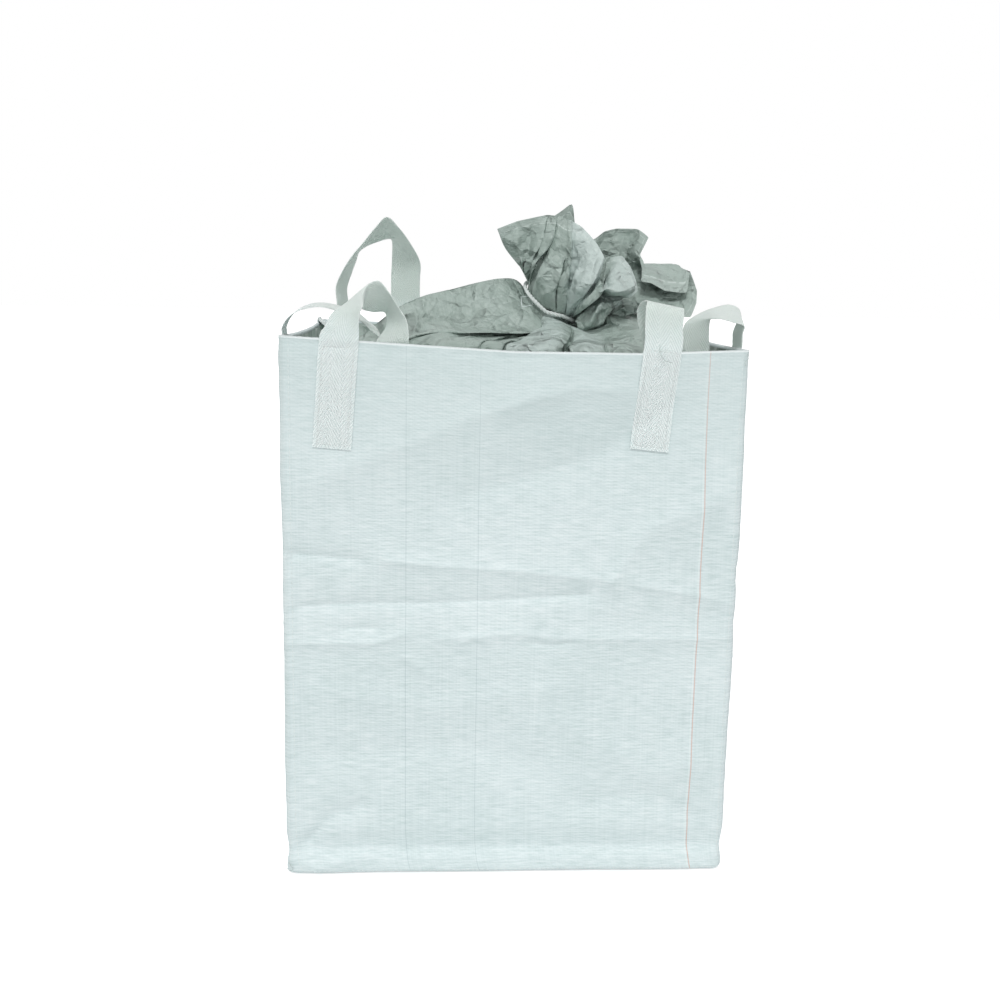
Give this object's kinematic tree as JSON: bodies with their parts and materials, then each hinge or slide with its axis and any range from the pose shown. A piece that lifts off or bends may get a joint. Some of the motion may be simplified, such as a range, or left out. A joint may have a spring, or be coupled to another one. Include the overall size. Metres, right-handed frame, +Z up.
{
  "type": "bulk bag",
  "caption": "Square woven-polypropylene bulk bag with cross-corner webbing lifting loops and a thin filling skirt gathered and tied over its mouth.",
  "frame": {"origin": "on the floor under the middle of the bag", "axes": "+X to the right of the front panel, +Y from the front panel to the back panel, +Z up from the bottom panel to the loops"},
  "size_m": [0.9077, 0.9092, 1.3968],
  "materials": {
    "panel": "coated woven polypropylene, pale blue-green white",
    "webbing": "herringbone polypropylene webbing, off white",
    "skirt": "thin coated woven polypropylene, crumpled, grey-green",
    "tie": "soft polypropylene tie cord, white",
    "thread": "sewing thread, white"
  },
  "bodies": {
    "bag": {"front_panel": "panel", "back_panel": "panel", "left_panel": "panel", "right_panel": "panel", "bottom_panel": "panel", "front_left_loop_front_leg": "webbing", "front_left_loop_front_bend": "webbing", "front_left_loop_left_bend": "webbing", "front_left_loop_left_leg": "webbing", "front_right_loop_front_leg": "webbing", "front_right_loop_front_bend": "webbing", "front_right_loop_right_bend": "webbing", "front_right_loop_right_leg": "webbing", "back_left_loop_back_leg": "webbing", "back_left_loop_back_bend": "webbing", "back_left_loop_left_bend": "webbing", "back_left_loop_left_leg": "webbing", "back_right_loop_back_leg": "webbing", "back_right_loop_back_bend": "webbing", "back_right_loop_right_bend": "webbing", "back_right_loop_right_leg": "webbing", "skirt": "skirt", "skirt_neck": "skirt", "tie_cord": "tie", "tie_knot": "tie", "front_left_seam_thread": "thread", "front_right_seam_thread": "thread", "back_left_seam_thread": "thread", "back_right_seam_thread": "thread", "bottom_seam_thread": "thread", "rim_seam_thread": "thread"},
    "front_left_loop": {"front_left_loop_arch": "webbing"},
    "front_right_loop": {"front_right_loop_arch": "webbing"},
    "back_left_loop": {"back_left_loop_arch": "webbing"},
    "back_right_loop": {"back_right_loop_arch": "webbing"},
    "ruffle": {"skirt_ruffle": "skirt"}
  },
  "joints": [
    {"name": "front_left_loop_swing", "type": "hinge", "parent": "bag", "child": "front_left_loop", "pos_m": [-0.39525, -0.40575, 1.135], "axis": [0.7758, -0.631, 0], "range_deg": [0, 95], "deforming": ["front_left_loop_front_bend", "front_left_loop_left_bend"]},
    {"name": "front_right_loop_swing", "type": "hinge", "parent": "bag", "child": "front_right_loop", "pos_m": [0.36825, -0.40575, 1.135], "axis": [0.8764, 0.4816, 0], "range_deg": [0, 95], "deforming": ["front_right_loop_front_bend", "front_right_loop_right_bend"]},
    {"name": "back_left_loop_swing", "type": "hinge", "parent": "bag", "child": "back_left_loop", "pos_m": [-0.3425, 0.40575, 1.135], "axis": [-0.9221, -0.387, 0], "range_deg": [-45, 80], "deforming": ["back_left_loop_back_bend", "back_left_loop_left_bend"]},
    {"name": "back_right_loop_swing", "type": "hinge", "parent": "bag", "child": "back_right_loop", "pos_m": [0.37075, 0.40575, 1.135], "axis": [-0.8701, 0.4929, 0], "range_deg": [0, 120], "deforming": ["back_right_loop_back_bend", "back_right_loop_right_bend"]},
    {"name": "ruffle_stand_up", "type": "hinge", "parent": "bag", "child": "ruffle", "pos_m": [0.1, -0.05, 1.165], "axis": [-0.4699, -0.8827, 0], "range_deg": [0, 30], "deforming": ["skirt_neck"]}
  ]
}
